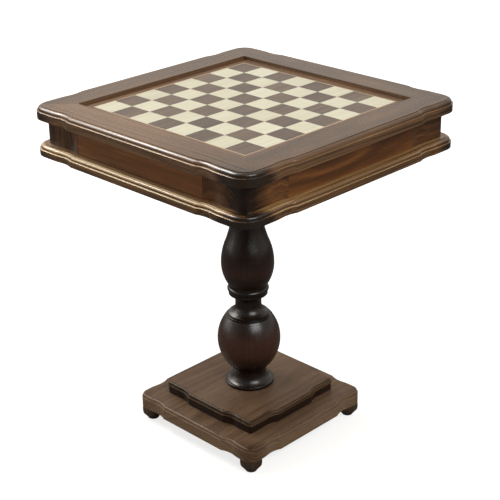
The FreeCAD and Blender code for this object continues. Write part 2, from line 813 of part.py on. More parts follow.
# ---------------------------------------------------------------- feet
# a short drum, barely swelled, whose lower half is turned away to a small toe
foot_top = size("foot_height")
base = (size("foot_base_radius"), 0.0)
toe = (size("foot_toe_radius"), size("foot_toe_height"))
chamfer = (size("foot_chamfer_radius"), size("foot_chamfer_at"))
widest = (size("foot_radius"), size("foot_widest_at"))
shoulder = (size("foot_top_radius"), foot_top - size("foot_top_height"))
tenon = size("tenon_radius")
tenon_top = foot_top + size("tenon_length")
foot_profile = [
    line((0, 0), base),
    line(base, toe),
    line(toe, chamfer),
    *bulge(widest, chamfer),
    *bulge(widest, shoulder),
    line(shoulder, (shoulder[0], foot_top)),
    line((shoulder[0], foot_top), (tenon, foot_top)),
    line((tenon, foot_top), (tenon, tenon_top)),
    line((tenon, tenon_top), (0, tenon_top)),
    line((0, tenon_top), (0, 0)),
]
for name, (x, y) in FEET.items():
    foot = turned_piece(f"foot_{name}", foot_profile, None)
    foot.Placement = Placement(Vector(x, y, 0), Rotation())

# ---------------------------------------------------------------- check and export
doc.recompute()
for obj in doc.Objects:
    if "Invalid" in obj.State or "Error" in obj.State:
        raise RuntimeError(f"{obj.Name}: {obj.State}")
os.makedirs("parts", exist_ok=True)
for obj in nodes:
    shape = obj.Shape
    if shape.isNull() or not shape.isValid() or not shape.Solids:
        raise RuntimeError(f"{obj.Label}: bad shape")
    shape.exportStep(f"parts/{obj.Label}.step")
print(len(nodes), "nodes")
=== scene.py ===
# %% [markdown]
# # A pedestal chess table, from bare frame to finished wood
# The table's construction comes ready: every board, square and turning is there at its
# true size. This lesson gives the table its looks. We run the mouldings again with a
# finer cutter, put the turned pieces back on the lathe, ease the sawn edges, and mix a
# finish for each kind of wood.

# %% Load the frame
import math

import bmesh
import bpy
from mathutils import Matrix, Vector


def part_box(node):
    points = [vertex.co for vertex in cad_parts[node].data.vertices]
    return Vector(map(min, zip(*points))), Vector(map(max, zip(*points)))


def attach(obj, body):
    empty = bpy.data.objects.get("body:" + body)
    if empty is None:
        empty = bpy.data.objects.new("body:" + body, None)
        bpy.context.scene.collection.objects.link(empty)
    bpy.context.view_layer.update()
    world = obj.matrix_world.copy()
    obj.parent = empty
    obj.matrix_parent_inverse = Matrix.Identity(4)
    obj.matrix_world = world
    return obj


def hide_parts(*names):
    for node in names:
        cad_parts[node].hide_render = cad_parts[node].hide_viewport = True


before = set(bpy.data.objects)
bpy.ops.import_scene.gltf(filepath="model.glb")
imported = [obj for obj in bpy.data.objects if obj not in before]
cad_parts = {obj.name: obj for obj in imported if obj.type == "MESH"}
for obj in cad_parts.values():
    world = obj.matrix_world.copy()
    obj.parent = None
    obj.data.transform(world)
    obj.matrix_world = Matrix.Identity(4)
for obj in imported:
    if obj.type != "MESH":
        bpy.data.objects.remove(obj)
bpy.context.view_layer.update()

# %% [markdown]
# ## Levels
# Blender counts in metres and a joiner in millimetres, so sizes here are in millimetres
# and are turned once. The heights of the tiers could be typed in, but they are read from
# the frame's own pieces, which keeps each new piece exactly where the old one stands.

# %% Levels of the tiers
MM = 0.001


def level(node, top=False):
    """Height in millimetres of a frame piece's underside or top."""
    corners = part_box(node)
    return round(corners[top].z / MM, 3)


TOP_LOW, TOP_HIGH = level("top_frame_front"), level("top_frame_front", top=True)
MOULD_LOW, MOULD_HIGH = level("moulding_front"), level("moulding_front", top=True)
BOTTOM_LOW = level("bottom_board")
LOWER_LOW, LOWER_HIGH = level("lower_plinth"), level("lower_plinth", top=True)
UPPER_HIGH = level("upper_plinth", top=True)
print("top", TOP_LOW, "to", TOP_HIGH, "and plinths", LOWER_LOW, LOWER_HIGH, UPPER_HIGH)

# %% [markdown]
# ## Three cutters
# One cutter shapes the top frame and the moulding under the box, and smaller ones shape
# the two plinths. From the top down each leaves a quirk, a bead, a square groove and a
# ledge. Their sizes come first, because the finish has to know where the ledges are.

# %% Cutters and ledges
CUTTERS = {
    "top": dict(width=10.0, height=4.5, groove=3.0, groove_height=3.0, soft=0.7),
    "upper": dict(width=6.0, height=2.5, groove=3.0, groove_height=3.7, soft=0.4),
    "lower": dict(width=5.5, height=3.0, groove=2.0, groove_height=3.2, soft=0.5),
}
QUIRK = 1.0


def ledge(high, cutter):
    c = CUTTERS[cutter]
    return high - QUIRK - c["height"] - c["groove_height"]


LEDGES = [ledge(TOP_HIGH, "top"), ledge(MOULD_HIGH, "top"), ledge(LOWER_HIGH, "lower"),
          ledge(UPPER_HIGH, "upper")]
print("ledges at", LEDGES)

# %% [markdown]
# ## Mixing wood
# A board is a solid with growth rings in it, and what we see on a face is where that
# face cuts the rings. A picture of wood would stretch on every bead and break at every
# edge, so the pattern is made in three dimensions. Its rings come out as long flames on
# the faces and as arcs on the ends. Fine streaks, a slow change of tone and short dark
# pores are laid over them.
#
# Colours are written as the hex values a painter would pick, and one function turns
# them to the linear values that light works in. Another adds a node with its settings
# and links.

# %% Colour and node helpers
def colour(hex_value):
    channels = [int(hex_value[i:i + 2], 16) / 255 for i in (1, 3, 5)]
    linear = [c / 12.92 if c <= 0.04045 else ((c + 0.055) / 1.055) ** 2.4
              for c in channels]
    return (*linear, 1.0)


def add(tree, kind, *ordered, inputs=None, **settings):
    """Adds one node. Its inputs come in their order, or by name or number in `inputs`.
    Each is a value, the socket that feeds it, or a node, whose first output feeds it."""
    node = tree.nodes.new("ShaderNode" + kind)
    for key, value in settings.items():
        setattr(node, key, value)
    for key, value in {**dict(enumerate(ordered)), **(inputs or {})}.items():
        source = value.outputs[0] if isinstance(value, bpy.types.Node) else value
        if isinstance(source, bpy.types.NodeSocket):
            tree.links.new(source, node.inputs[key])
        else:
            node.inputs[key].default_value = source
    return node


def total(tree, *terms):
    """Adds up several values."""
    so_far, *others = terms
    for term in others:
        so_far = add(tree, "Math", so_far, term, operation="ADD")
    return so_far


def blank_material(name):
    material = bpy.data.materials.new(name)
    material.use_nodes = True
    material.node_tree.nodes.clear()
    return material, material.node_tree


print("a mid grey of #808080 is", round(colour("#808080")[0], 3), "in linear light")

# %% [markdown]
# ## Which way the grain runs
# A frame is mitred so that its grain can follow each side. Where y is larger than x, in
# size, we are on a front or back member and the grain runs along x; elsewhere it runs
# along y. A panel and a plinth have one direction, and a turning has its grain up the
# axis. The result is a vector whose X runs along the grain. Each side could have its own
# material instead, but then each change would have to be made four times.

# %% Grain direction
def coordinates(tree):
    """x, y and z on the table, in metres."""
    place = add(tree, "TexCoord").outputs["Object"]
    return add(tree, "SeparateXYZ", place).outputs


def off_centre(tree):
    """The sizes of x and of y."""
    return [add(tree, "Math", value, operation="ABSOLUTE")
            for value in coordinates(tree)[:2]]


def players_side(tree):
    """One on the front and back members, and nought on the left and right ones."""
    size_x, size_y = off_centre(tree)
    return add(tree, "Math", size_y, size_x, operation="GREATER_THAN")


def grain_space(tree, grain):
    x, y, z = coordinates(tree)
    order = {"x": (x, y, z), "y": (y, x, z), "z": (z, x, y)}.get(grain)
    if grain == "sides":
        players = players_side(tree)
        order = (add(tree, "Mix", inputs={0: players, 2: y, 3: x}),
                 add(tree, "Mix", inputs={0: players, 2: x, 3: y}), z)
    return add(tree, "CombineXYZ", *order)


def stretched(tree, space, along_mm, across_mm, detail=2.0):
    """Noise drawn out along the grain, as long and as wide as the two sizes say."""
    scale = tuple(1 / MM / size for size in (along_mm, across_mm, across_mm))
    scaled = add(tree, "VectorMath", space, scale, operation="MULTIPLY")
    return add(tree, "TexNoise",
               inputs={"Vector": scaled, "Scale": 1.0, "Detail": detail})


# %% [markdown]
# ## Growth rings
# The distance from the heart of the tree, bent by a slow noise, gives the rings. The
# heart lies outside the board, and how far it is, in `heart`, sets whether the figure
# is straight or in flames. Walnut's rings are 3 to 6 mm wide, and wider in fast-grown
# wood. Rings from a Wave texture would all be alike, and a noise gives good years and
# bad ones.

# %% Growth rings
# A bend's size along and across the grain, in millimetres.
BEND = (420, 95)
RING_BREAK = 0.62


def growth_rings(tree, space, heart, ring, wander):
    bend = add(tree, "Math", stretched(tree, space, *BEND), 0.5, operation="SUBTRACT")
    bend = add(tree, "Math", bend, wander * MM, operation="MULTIPLY")
    spoke = add(tree, "VectorMath", space, (0, *heart), operation="SUBTRACT")
    spoke = add(tree, "VectorMath", spoke, (0, 1, 1), operation="MULTIPLY")
    radius = add(tree, "VectorMath", spoke, operation="LENGTH").outputs["Value"]
    place = add(tree, "Math", total(tree, radius, bend), 1 / MM / ring,
                operation="MULTIPLY")
    return add(tree, "TexNoise", noise_dimensions="1D",
               inputs={"W": place, "Scale": 1.0, "Detail": 3.0, "Roughness": RING_BREAK})


# %% [markdown]
# ## The wood itself
# Walnut's pores are only 0.2 mm wide, too fine to show, so they are drawn 1.1 mm wide.
# The lacquer is rubbed down to a satin, so its reflections are soft, and a little
# rougher where a streak is open. A stain that soaks in under a thin wax, as on the
# column, reflects less than a built-up lacquer, and `gloss` sets that.

# %% Wood
# Sizes along and across the grain, in millimetres.
STREAK, CLOUD, PORE = (120, 2.6), (330, 120), (17, 1.1)
RING_SHARE, STREAK_SHARE, CLOUD_SHARE = 0.44, 0.28, 0.28
TONE_STOPS = (0.36, 0.5, 0.64, 0.8)
MIDDLE_TONE = 0.5
PORES_START, PORES_FULL, PORE_DEPTH = 0.55, 0.72, 0.2 * MM
STREAK_LOW, STREAK_HIGH, STREAK_RELIEF = 0.3, 0.7, 0.3
SMOOTHER, ROUGHER = 0.05, 0.06


def wood(name, tones, grain, heart=(0.16, 0.10), ring=5.0, wander=26.0, roughness=0.34,
         gloss=0.5, pores=0.45, relief=0.15, figure=1.0, tint=None):
    """tones are the dark, middle and light colours, and a fourth for painted highlights.
    grain is a direction, or a function that makes the grain's own space."""
    material, tree = blank_material(name)
    space = grain(tree) if callable(grain) else grain_space(tree, grain)
    rings = growth_rings(tree, space, heart, ring, wander)
    streaks = stretched(tree, space, *STREAK)
    clouds = stretched(tree, space, *CLOUD, detail=1.0)
    tone = total(tree, *(add(tree, "Math", pattern, share, operation="MULTIPLY")
                         for pattern, share in ((rings, RING_SHARE),
                                                (streaks, STREAK_SHARE),
                                                (clouds, CLOUD_SHARE))))
    tone = add(tree, "Math", tone, figure, operation="MULTIPLY")
    tone = total(tree, tone, MIDDLE_TONE * (1 - figure))
    if tint is not None:
        tone = total(tree, tone, tint(tree))
    ramp = add(tree, "ValToRGB", tone)
    stops = ramp.color_ramp.elements
    for _ in tones[2:]:
        stops.new(MIDDLE_TONE)
    for stop, position, tone_hex in zip(stops, TONE_STOPS, tones):
        stop.position, stop.color = position, colour(tone_hex)
    pore = add(tree, "MapRange", stretched(tree, space, *PORE, detail=1.0),
               PORES_START, PORES_FULL, 0.0, pores)
    shade = add(tree, "Mix", data_type="RGBA",
                inputs={0: pore, 6: ramp, 7: colour(tones[0])}).outputs[2]
    sheen = add(tree, "MapRange", streaks, STREAK_LOW, STREAK_HIGH,
                roughness - SMOOTHER, roughness + ROUGHER)
    surface = add(tree, "Math", streaks, STREAK_RELIEF, operation="MULTIPLY")
    surface = add(tree, "Math", surface, pore, operation="SUBTRACT")
    bump = add(tree, "Bump", inputs={"Height": surface, "Strength": relief,
                                     "Distance": PORE_DEPTH})
    skin = add(tree, "BsdfPrincipled",
               inputs={"Base Color": shade, "Roughness": sheen, "Normal": bump,
                       "IOR": 1.5, "Specular IOR Level": gloss})
    add(tree, "OutputMaterial", skin)
    return material


# %% [markdown]
# ## Painted shade and highlights
# The rounded corners are painted darker, nearly black, as painted shade. The ledges under
# the beads get a light line as a painted highlight, and the turnings are painted lighter
# where they swell. They could be painted by hand. Here each is a small shift of the tone,
# worked out from the place on the table.

# %% Painted shade and highlights
# Where x - y, in metres, shows the front right corner, which gets the darkest painted
# shade, and the other corners' share.
FRONT_RIGHT, OTHER_CORNERS = (0.15, 0.28), 0.3
# A painted highlight line's middle below its arris and half its height, in millimetres.
LINE_BELOW, LINE_HALF = 0.35, 0.45
SIDES_SHARE = 0.3
# How far up a face looks, from upright to flat.
UPRIGHT_FACE, FLAT_FACE = 0.3, 0.9
# Radii, in metres, between which the ball and the vase are painted lighter, as painted
# light.
BALL_SWELL, VASE_SWELL = (0.05, 0.063), (0.044, 0.0534)
# Heights in metres: the vase's foot, and where the painted light on its belly fades
# upwards.
VASE_FOOT, BELLY_FADES = 0.25, (0.335, 0.375)


def painted_corner_shade(tree, start, end, amount):
    """Painted shade on the rounded corners: they fade to dark as |x| and |y| add up to
    more. The corner between the front and the right side is painted darkest."""
    x, y, _ = coordinates(tree)
    out = total(tree, *off_centre(tree))
    painted_shade = add(tree, "MapRange", out, start, end, 0.0, -amount)
    to_front_right = add(tree, "Math", x, y, operation="SUBTRACT")
    share = add(tree, "MapRange", to_front_right, *FRONT_RIGHT, OTHER_CORNERS, 1.0)
    return add(tree, "Math", painted_shade, share, operation="MULTIPLY")


def by_side(tree, others, players):
    """One value on the left and right members, and another on the front and back."""
    return add(tree, "MapRange", players_side(tree), 0.0, 1.0, others, players)


def highlight_line(tree, amount, *heights):
    """A painted highlight: a light line along a ledge's arris, stronger on the front
    and back members than on the left and right."""
    *_, z = coordinates(tree)
    painted_highlight = by_side(tree, SIDES_SHARE * amount, amount)
    lines = total(tree, *(add(tree, "Math", z, (height - LINE_BELOW) * MM,
                              LINE_HALF * MM, operation="COMPARE")
                          for height in heights))
    return add(tree, "Math", lines, painted_highlight, operation="MULTIPLY")


def light_by_facing(tree, low, high):
    """Painted light by facing: low on upright faces, high on those that look up."""
    normal = add(tree, "NewGeometry").outputs["Normal"]
    up = add(tree, "SeparateXYZ", normal).outputs["Z"]
    return add(tree, "MapRange", up, UPRIGHT_FACE, FLAT_FACE, low, high)


def swell_light(tree):
    """Painted light: a turning is lighter where it is widest, and darker elsewhere. The
    vase is slimmer than the ball, and the painted light on its belly stays low down."""
    place = add(tree, "TexCoord").outputs["Object"]
    flat = add(tree, "VectorMath", place, (1, 1, 0), operation="MULTIPLY")
    out = add(tree, "VectorMath", flat, operation="LENGTH").outputs["Value"]
    ball = add(tree, "MapRange", out, *BALL_SWELL, -0.1, 0.09)
    *_, z = coordinates(tree)
    on_vase = add(tree, "Math", z, VASE_FOOT, operation="GREATER_THAN")
    belly = add(tree, "MapRange", out, *VASE_SWELL, 0.0, 0.12)
    belly = add(tree, "Math", belly, on_vase, operation="MULTIPLY")
    low_down = add(tree, "MapRange", z, *BELLY_FADES, 1.0, 0.2)
    belly = add(tree, "Math", belly, low_down, operation="MULTIPLY")
    return total(tree, belly, ball)


# %% [markdown]
# ## One tint for each part
# The shifts are now added up for each part. Below nought is darker and above it lighter,
# and 0.14 is the whole way from a stain's middle colour to its light or its dark one.

# %% Tint of the top frame
def frame_tint(tree):
    """The front member is lighter and fades to the right. Painted shade darkens the front
    right corner, and a painted highlight lines the ledge.
    """
    x, y, z = coordinates(tree)
    to_front = add(tree, "Math", y, -1.0, operation="MULTIPLY")
    size_x, _ = off_centre(tree)
    front = add(tree, "Math", to_front, size_x, operation="GREATER_THAN")
    front_lighter = add(tree, "MapRange", x, 0.03, 0.21, 0.075, 0.0)
    front_lighter = add(tree, "Math", front, front_lighter, operation="MULTIPLY")
    # Painted shade near the front right corner, on the flat and more on the edge, and a
    # painted highlight line on the ledge.
    flat = total(tree, front_lighter, -0.055, painted_corner_shade(tree, 0.49, 0.56, 0.10))
    edge = total(tree, painted_corner_shade(tree, 0.50, 0.55, 0.3), -0.03,
                 highlight_line(tree, 0.25, LEDGES[0]))
    on_edge = add(tree, "Math", z, (TOP_HIGH - 1.5) * MM, operation="LESS_THAN")
    return add(tree, "Mix", inputs={0: on_edge, 2: flat, 3: edge})


# %% Tints of the box and its moulding
def moulding_tint(tree):
    """Painted highlight: the bead and the flat above it are a lighter gold, the bead most
    of all on the front and back. Painted shade darkens the corners."""
    *_, z = coordinates(tree)
    half = CUTTERS["top"]["height"] / 2
    on_bead = add(tree, "Math", z, (MOULD_HIGH - QUIRK - half) * MM, half * MM,
                  operation="COMPARE")
    painted_highlight = add(tree, "Math", on_bead, by_side(tree, 0.03, 0.2), operation="MULTIPLY")
    # Painted shade at the corners, painted highlights on the ledge and the bead, and
    # painted light on faces that look up.
    return total(tree, painted_corner_shade(tree, 0.505, 0.555, 0.45),
                 highlight_line(tree, 0.3, LEDGES[1]), painted_highlight, light_by_facing(tree, -0.03, 0.1))


def apron_tint(tree):
    """The fixed aprons are a little darker than the drawers' faces."""
    return by_side(tree, -0.06, 0.0)


def block_tint(tree):
    """The blocks' front and back faces are plainer and darker than their sides, and
    painted shade darkens their rounded corners.
    """
    # Painted shade on the rounded corners.
    return total(tree, painted_corner_shade(tree, 0.482, 0.53, 0.2), by_side(tree, 0.0, -0.05))


# %% Tint of the plinths
def plinth_tint(tree):
    """Painted shade: the plinths' flats are darker than their sides, the upper plinth's
    edge is darker, most on the front and back, and the corners are darker, the front
    right most.
    The ledges get a faint painted highlight line."""
    *_, z = coordinates(tree)
    above_lower = add(tree, "Math", z, (LOWER_HIGH + 1) * MM, operation="GREATER_THAN")
    under_flat = add(tree, "Math", z, (UPPER_HIGH - 0.1) * MM, operation="LESS_THAN")
    on_edge = add(tree, "Math", above_lower, under_flat, operation="MULTIPLY")
    # Painted shade on the upper plinth's edge, most on the front and back.
    painted_shade = add(tree, "Math", on_edge, by_side(tree, -0.12, -0.2), operation="MULTIPLY")
    # Painted shade on the flats and the corners, and a faint painted highlight line on
    # the ledges.
    return total(tree, light_by_facing(tree, 0.08, -0.01), painted_shade,
                 painted_corner_shade(tree, 0.275, 0.315, 0.13),
                 highlight_line(tree, 0.08, *LEDGES[2:]))


# %% [markdown]
# ## The stains
# The table is walnut throughout, but each part has its own stain. The top frame is a
# grey-brown, the box and its mouldings are a warm brown, and the plinths lie between
# them. The column is almost black. The band under the upper plinth's edge is a dark stain
# made near black with painted shade. The drawer boxes are plain pale wood, as on most
# furniture.
#
# Each stain has its colours from dark to light, the run of its grain and the place of
# its tree's heart in metres. The lacquered top is the smoothest, and the sanded drawer
# wood is the dullest.

# %% Stains of the top and the box
# Lacquer with filled pores: an even grey-brown under a clear sheen.
TOP_WALNUT = wood("satin_lacquered_walnut_top",
                  ("#21160d", "#5f442c", "#826445", "#b9a184"), "sides",
                  heart=(0.25, 0.52), ring=6.0, roughness=0.26, relief=0.08, pores=0.12,
                  figure=0.5, tint=frame_tint)
# Thinner lacquer over open pores: a warm brown with its flames showing.
APRON_WALNUT = wood("satin_lacquered_walnut_apron", ("#432712", "#673f1e", "#85592e"),
                    "sides", heart=(0.40, 0.66), ring=5.0, gloss=0.3, figure=0.85,
                    tint=apron_tint)
# The same lacquer over figured blocks: broad flames, and plainer, darker ends.
CORNER_WALNUT = wood("figured_walnut_corner", ("#1a0f08", "#53341b", "#7e5429"), "y",
                     heart=(0.20, 0.60), ring=8.0, wander=45.0, gloss=0.3, figure=0.7,
                     tint=block_tint)
# Lacquer with a gold painted highlight on the bead: long highlights along it.
MOULDING_WALNUT = wood("satin_lacquered_walnut_moulding",
                       ("#1c120a", "#5e4125", "#8d6c42", "#ccb48c"), "sides",
                       heart=(0.33, 0.45), ring=5.0, roughness=0.27, relief=0.08,
                       pores=0.2, figure=0.7, tint=moulding_tint)
print(len(bpy.data.materials), "stains for the top and the box")

# %% Stains of the column and the base
# Thin lacquer rubbed down dull: a dusty brown with hardly a highlight.
PLINTH_WALNUT = wood("satin_lacquered_walnut_plinth", ("#2e2114", "#594433", "#755f4a"),
                     "y", heart=(0.03, -0.14), ring=6.0, roughness=0.34, gloss=0.14,
                     figure=0.45, tint=plinth_tint)
# Dark stain under wax, burnished on the lathe: soft round highlights, no pores, and
# painted light where it swells.
TURNED_WALNUT = wood("dark_stained_turned_walnut", ("#0e0705", "#22120c", "#3f251a"),
                     "z", heart=(0.09, 0.03), ring=6.0, roughness=0.3, gloss=0.4,
                     pores=0.05, relief=0.02, figure=0.14, tint=swell_light)
# The feet have a thinner stain with the pores left open: browner, with a faint grain.
FOOT_WALNUT = wood("stained_turned_walnut_foot", ("#241a12", "#392b1f", "#4e3d2c"),
                   "z", heart=(0.30, 0.03), ring=6.0, roughness=0.36, gloss=0.4,
                   pores=0.2, figure=0.6)
# Dark stain with nothing over it, made near black as painted shade: a matt line of
# shadow.
SHADED_BAND_WALNUT = wood("dark_walnut_band_painted_shade", ("#110906", "#1e120b", "#2c1c12"),
                   "sides", heart=(0.33, 0.45), roughness=0.42, gloss=0.2)
# Sanded and left bare: pale and dull.
DRAWER_WOOD, SIDE_WOOD = (
    wood(name, ("#9c8058", "#b29770", "#c6ad86"), grain, heart=(0.5, 0.3),
         roughness=0.52, gloss=0.4, pores=0.2)
    for name, grain in (("sanded_secondary_wood", "x"), ("sanded_drawer_side_wood", "y")))
print(len(bpy.data.materials), "stains in all")

# %% [markdown]
# ## Veneer, leaf by leaf
# Every square of the board is its own leaf of veneer, so its figure must not run on into
# its neighbour. The number of the square, column and row, goes into a white noise. That
# gives each leaf its own place along the log and its own slight tone.

# %% Veneers
SQUARES_ACROSS = 8

low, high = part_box("light_squares")
SQUARE = round((high.x - low.x) / MM / SQUARES_ACROSS, 3)


def leaf_number(tree):
    place = add(tree, "TexCoord").outputs["Object"]
    cell = add(tree, "VectorMath", place, (1 / MM / SQUARE, 1 / MM / SQUARE, 0),
               operation="MULTIPLY")
    index = add(tree, "VectorMath", cell, operation="FLOOR")
    return add(tree, "TexWhiteNoise", noise_dimensions="3D", inputs={"Vector": index})


def leaf_tint(tree):
    return add(tree, "MapRange", leaf_number(tree), 0.0, 1.0, -0.06, 0.06)


def leaf_space(tree):
    return add(tree, "VectorMath", grain_space(tree, "y"),
               leaf_number(tree).outputs["Color"], operation="ADD")


def veneer(name, tones, **finish):
    return wood(name, tones, leaf_space, tint=leaf_tint, **finish)


# Scraped, sanded and lacquered: closed grain, so each leaf is nearly one tone.
MAPLE = veneer("lacquered_maple_veneer", ("#b4ae96", "#bcb79f", "#c3bfaa"),
               heart=(0.05, 0.9), ring=7.0, pores=0.03, roughness=0.34)
DARK_LEAF = veneer("lacquered_walnut_veneer", ("#3d2d23", "#4f3d2f", "#64503f"),
                   heart=(0.05, 0.55), ring=5.0, roughness=0.32)
# Straight-grained strips under the same lacquer: a plain brown, and a fine pale line.
BORDER = wood("lacquered_walnut_border", ("#422e1f", "#5e442f", "#7b5d43"), "sides",
              heart=(0.28, 0.55), ring=5.0)
STRINGING = wood("lacquered_maple_stringing", ("#a58a6b", "#b79c7b", "#c7ae8d"),
                 "sides", heart=(0.2, 0.9), pores=0.05)
print("squares of", SQUARE, "mm")

# %% [markdown]
# ## Zinc plated steel
# The tie rod and its nuts and washers are bright zinc plate. A mottle in the roughness
# gives the frosted look of the plating. The real one is finer than half a millimetre,
# too fine to show, so it is drawn 2 mm wide.

# %% Steel
MOTTLE = (2.0, 2.0)

STEEL, tree = blank_material("zinc_plated_steel")
mottle = stretched(tree, add(tree, "TexCoord").outputs["Object"], *MOTTLE)
frost = add(tree, "MapRange", mottle, 0.0, 1.0, 0.26, 0.46)
zinc = add(tree, "Mix", data_type="RGBA",
           inputs={0: mottle, 6: colour("#b4b5b3"), 7: colour("#cfcfca")}).outputs[2]
skin = add(tree, "BsdfPrincipled", inputs={"Base Color": zinc, "Metallic": 1.0,
                                           "Roughness": frost})
add(tree, "OutputMaterial", skin)
print(len(bpy.data.materials), "materials in all")

# %% [markdown]
# ## Making a piece
# `finish_piece` welds a mesh, turns its faces outwards and makes it an object that
# stands in for a piece of the frame. Faces are shaded smooth, but an edge stays crisp
# where they meet at more than 15 degrees, as a sharp cutter leaves it.

# %% Finish a piece
CRISP = math.radians(15)
WELD = 0.004 * MM


def finish_piece(bm, name, material, node, body="table"):
    bmesh.ops.remove_doubles(bm, verts=bm.verts, dist=WELD)
    bmesh.ops.recalc_face_normals(bm, faces=bm.faces)
    for face in bm.faces:
        face.smooth = True
        face.material_index = 0
    for edge in bm.edges:
        edge.smooth = edge.calc_face_angle(0.0) < CRISP
    mesh = bpy.data.meshes.new(name)
    bm.to_mesh(mesh)
    bm.free()
    mesh.materials.append(material)
    piece = bpy.data.objects.new(name, mesh)
    bpy.context.scene.collection.objects.link(piece)
    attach(piece, body)
    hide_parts(node)
    print(name, len(mesh.polygons), "faces")
    return piece


def ease(bm, edges, radius):
    """Takes the sharpness off edges, as a few strokes of sandpaper do."""
    bmesh.ops.bevel(bm, geom=edges, offset=radius * MM, offset_type="OFFSET",
                    segments=2, profile=0.5, affect="EDGES", material=-1,
                    clamp_overlap=True)


# %% [markdown]
# ## A pen
# Plans and profiles are chains of edges. A straight stroke pulls the last vertex
# along, and an arc spins it round a centre until it reaches the end point. The points
# could be listed one by one, but then no radius could be read or changed.

# %% Pen
class Pen:
    """Draws a chain of edges. Its points are in millimetres."""

    def __init__(self, bm, start, axis):
        self.bm, self.axis = bm, Vector(axis)
        self.tip = bm.verts.new(Vector(start) * MM)

    def line(self, *points):
        for point in points:
            pulled = bmesh.ops.extrude_vert_indiv(self.bm, verts=[self.tip])
            self.tip = pulled["verts"][0]
            self.tip.co = Vector(point) * MM
        return self

    def arc(self, centre, end, steps):
        hub, goal = Vector(centre) * MM, Vector(end) * MM
        spoke, last = self.tip.co - hub, goal - hub
        angle = math.atan2(spoke.cross(last).dot(self.axis), spoke.dot(last))
        spun = bmesh.ops.spin(self.bm, geom=[self.tip], cent=hub, axis=self.axis,
                              angle=angle, steps=steps)
        self.tip = next(g for g in spun["geom_last"]
                        if isinstance(g, bmesh.types.BMVert))
        return self


# %% [markdown]
# ## The scalloped plan
# Every tier of the table has the same ground plan at its own size: a straight middle
# that ends in a sharp arris, a shallow scoop, a swell, and a rounded corner. One side
# is drawn with the pen, copied round the axis and welded, and the loop is filled. A
# Curve could hold the plan too, but the mouldings are run from its filled face.

# %% Plans
PLANS = {
    "top": dict(half=290.5, shoulder=122.0, dip=4.5, scoop=66.0, swell=120.0, drop=2.2,
                corner=37.0),
    "box": dict(half=270.5, shoulder=102.0, dip=4.5, scoop=66.0, swell=120.0, drop=2.2,
                corner=17.0),
    "upper": dict(half=129.5, shoulder=79.0, dip=7.0, scoop=46.4, swell=60.0, drop=6.2,
                  corner=8.0),
    "lower": dict(half=168.0, shoulder=84.0, dip=5.5, scoop=51.0, swell=100.0, drop=3.0,
                  corner=20.0),
}
print(len(PLANS), "plans, the widest", 2 * PLANS["top"]["half"], "mm across")

# %% Draw one side
UP = Vector((0, 0, 1))
CORNER_STEPS, SWELL_STEPS, SCOOP_STEPS = 12, 6, 14


def draw_side(bm, p, inset, z):
    """The side that faces +Y, from the tip of one corner to the tip of the next."""
    away = math.sqrt(p["scoop"] ** 2 - (p["scoop"] - p["dip"]) ** 2)
    dip_at = p["half"] - p["shoulder"] + away
    scoop, swell, corner = p["scoop"] + inset, p["swell"] - inset, p["corner"] - inset
    half = p["half"] - inset
    hub, ear = half - p["dip"] + scoop, half - p["drop"]
    arris = dip_at - math.sqrt(scoop ** 2 - (scoop - p["dip"]) ** 2)
    turn = math.acos(1 - (p["dip"] - p["drop"]) / (scoop + swell))
    ear_at = dip_at + (scoop + swell) * math.sin(turn)
    join = (dip_at + scoop * math.sin(turn), hub - scoop * math.cos(turn))
    round_hub = ear - corner
    tip = round_hub + corner * math.sqrt(0.5)
    pen = Pen(bm, (tip, tip, z), UP)
    pen.arc((round_hub, round_hub, z), (round_hub, ear, z), CORNER_STEPS)
    pen.line((ear_at, ear, z))
    pen.arc((ear_at, ear - swell, z), (*join, z), SWELL_STEPS)
    pen.arc((dip_at, hub, z), (arris, half, z), SCOOP_STEPS)
    pen.line((-arris, half, z))
    pen.arc((-dip_at, hub, z), (-join[0], join[1], z), SCOOP_STEPS)
    pen.arc((-ear_at, ear - swell, z), (-ear_at, ear, z), SWELL_STEPS)
    pen.line((-round_hub, ear, z))
    pen.arc((-round_hub, round_hub, z), (-tip, tip, z), CORNER_STEPS)


# %% Draw a plan
def draw_plan(bm, plan, z, inset=0.0):
    draw_side(bm, PLANS[plan], inset, z)
    side = bm.verts[:] + bm.edges[:]
    for quarter in (1, 2, 3):
        copy = bmesh.ops.duplicate(bm, geom=side)["geom"]
        verts = [g for g in copy if isinstance(g, bmesh.types.BMVert)]
        bmesh.ops.rotate(bm, verts=verts,
                         matrix=Matrix.Rotation(quarter * math.pi / 2, 3, "Z"))
    bmesh.ops.remove_doubles(bm, verts=bm.verts, dist=WELD)
    face = bmesh.ops.contextual_create(bm, geom=bm.edges[:])["faces"][0]
    if face.normal.z < 0:
        face.normal_flip()
    return face


print("a plan's side has", 2 * (CORNER_STEPS + SWELL_STEPS + SCOOP_STEPS) + 3, "strokes")

# %% [markdown]
# ## Running a moulding
# A cutter leaves the same section all the way round. We get it by working one face,
# step by step: `rise` lifts it straight up and `step` moves its rim inwards. The
# thumbnail bead is many small steps on a quarter ellipse, spaced so that each one
# turns the surface by the same angle, because that is what keeps a highlight smooth.
# Under the bead a square groove draws a line of shadow, and the narrow ledge below it
# catches a line of light. A section swept along the plan would fold over at its sharp
# turns, and an inset face doesn't.

# %% Moulding steps
BEAD_STEPS = 9


def rise(bm, face, height, keep=False):
    """Lifts a face. The extrusion leaves the old one behind, kept for an underside."""
    raised = bmesh.ops.extrude_face_region(bm, geom=[face])["geom"]
    if not keep:
        bmesh.ops.delete(bm, geom=[face], context="FACES_ONLY")
    face = next(g for g in raised if isinstance(g, bmesh.types.BMFace))
    bmesh.ops.translate(bm, verts=face.verts, vec=(0, 0, height * MM))
    return face


def step(bm, face, inward, up=0.0):
    bmesh.ops.inset_region(bm, faces=[face], thickness=inward * MM, depth=up * MM,
                           use_even_offset=True, use_boundary=True)


